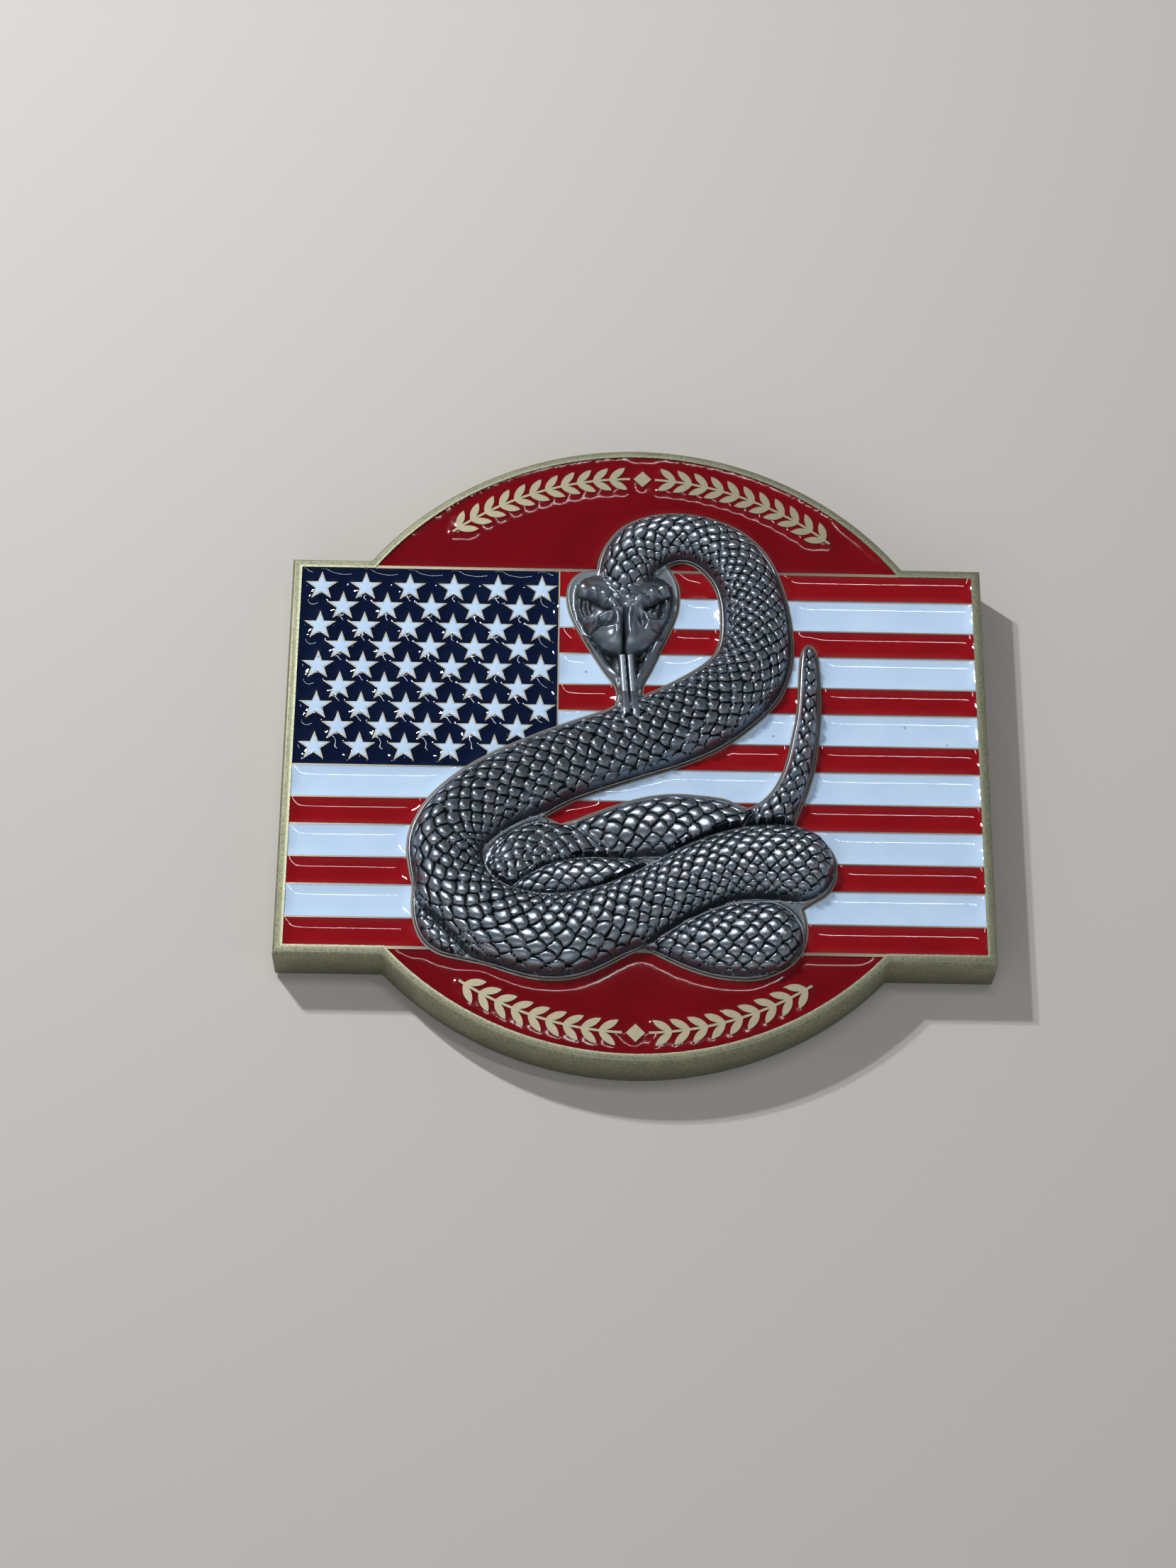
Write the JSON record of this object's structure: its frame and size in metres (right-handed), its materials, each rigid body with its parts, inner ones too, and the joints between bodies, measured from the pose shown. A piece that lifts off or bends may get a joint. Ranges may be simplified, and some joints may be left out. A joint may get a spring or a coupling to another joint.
{
  "type": "challenge coin",
  "caption": "Challenge coin: disc behind a flag panel in soft enamel and antique brass, with a separately cast coiled snake seated on the obverse.",
  "frame": {"origin": "on the reverse face, under the centre of the disc, which is also the middle of the outline's bounding box", "axes": "+X along the flag's length to the right of the design, +Y to the top of the design, +Z out of the obverse"},
  "size_m": [0.0508, 0.049, 0.0063],
  "materials": {
    "antique_brass": "antique brass plating, satin, rubbed bright along the edges",
    "black_nickel": "antique black nickel plating, rubbed bright on the high points",
    "dark_red_enamel": "gloss soft enamel",
    "red_enamel": "gloss soft enamel",
    "white_enamel": "gloss soft enamel",
    "navy_enamel": "gloss soft enamel"
  },
  "bodies": {
    "root": {"coin_body": "antique_brass", "snake_emblem": "black_nickel", "top_panel_enamel": "dark_red_enamel", "bottom_panel_enamel": "dark_red_enamel", "canton_enamel": "navy_enamel", "star_enamel": "white_enamel", "stripe_01_red_enamel": "red_enamel", "stripe_02_white_enamel": "white_enamel", "stripe_03_red_enamel": "red_enamel", "stripe_04_white_enamel": "white_enamel", "stripe_05_red_enamel": "red_enamel", "stripe_06_white_enamel": "white_enamel", "stripe_07_red_enamel": "red_enamel", "stripe_08_white_enamel": "white_enamel", "stripe_09_red_enamel": "red_enamel", "stripe_10_white_enamel": "white_enamel", "stripe_11_red_enamel": "red_enamel", "stripe_12_white_enamel": "white_enamel", "stripe_13_red_enamel": "red_enamel"}
  },
  "joints": []
}
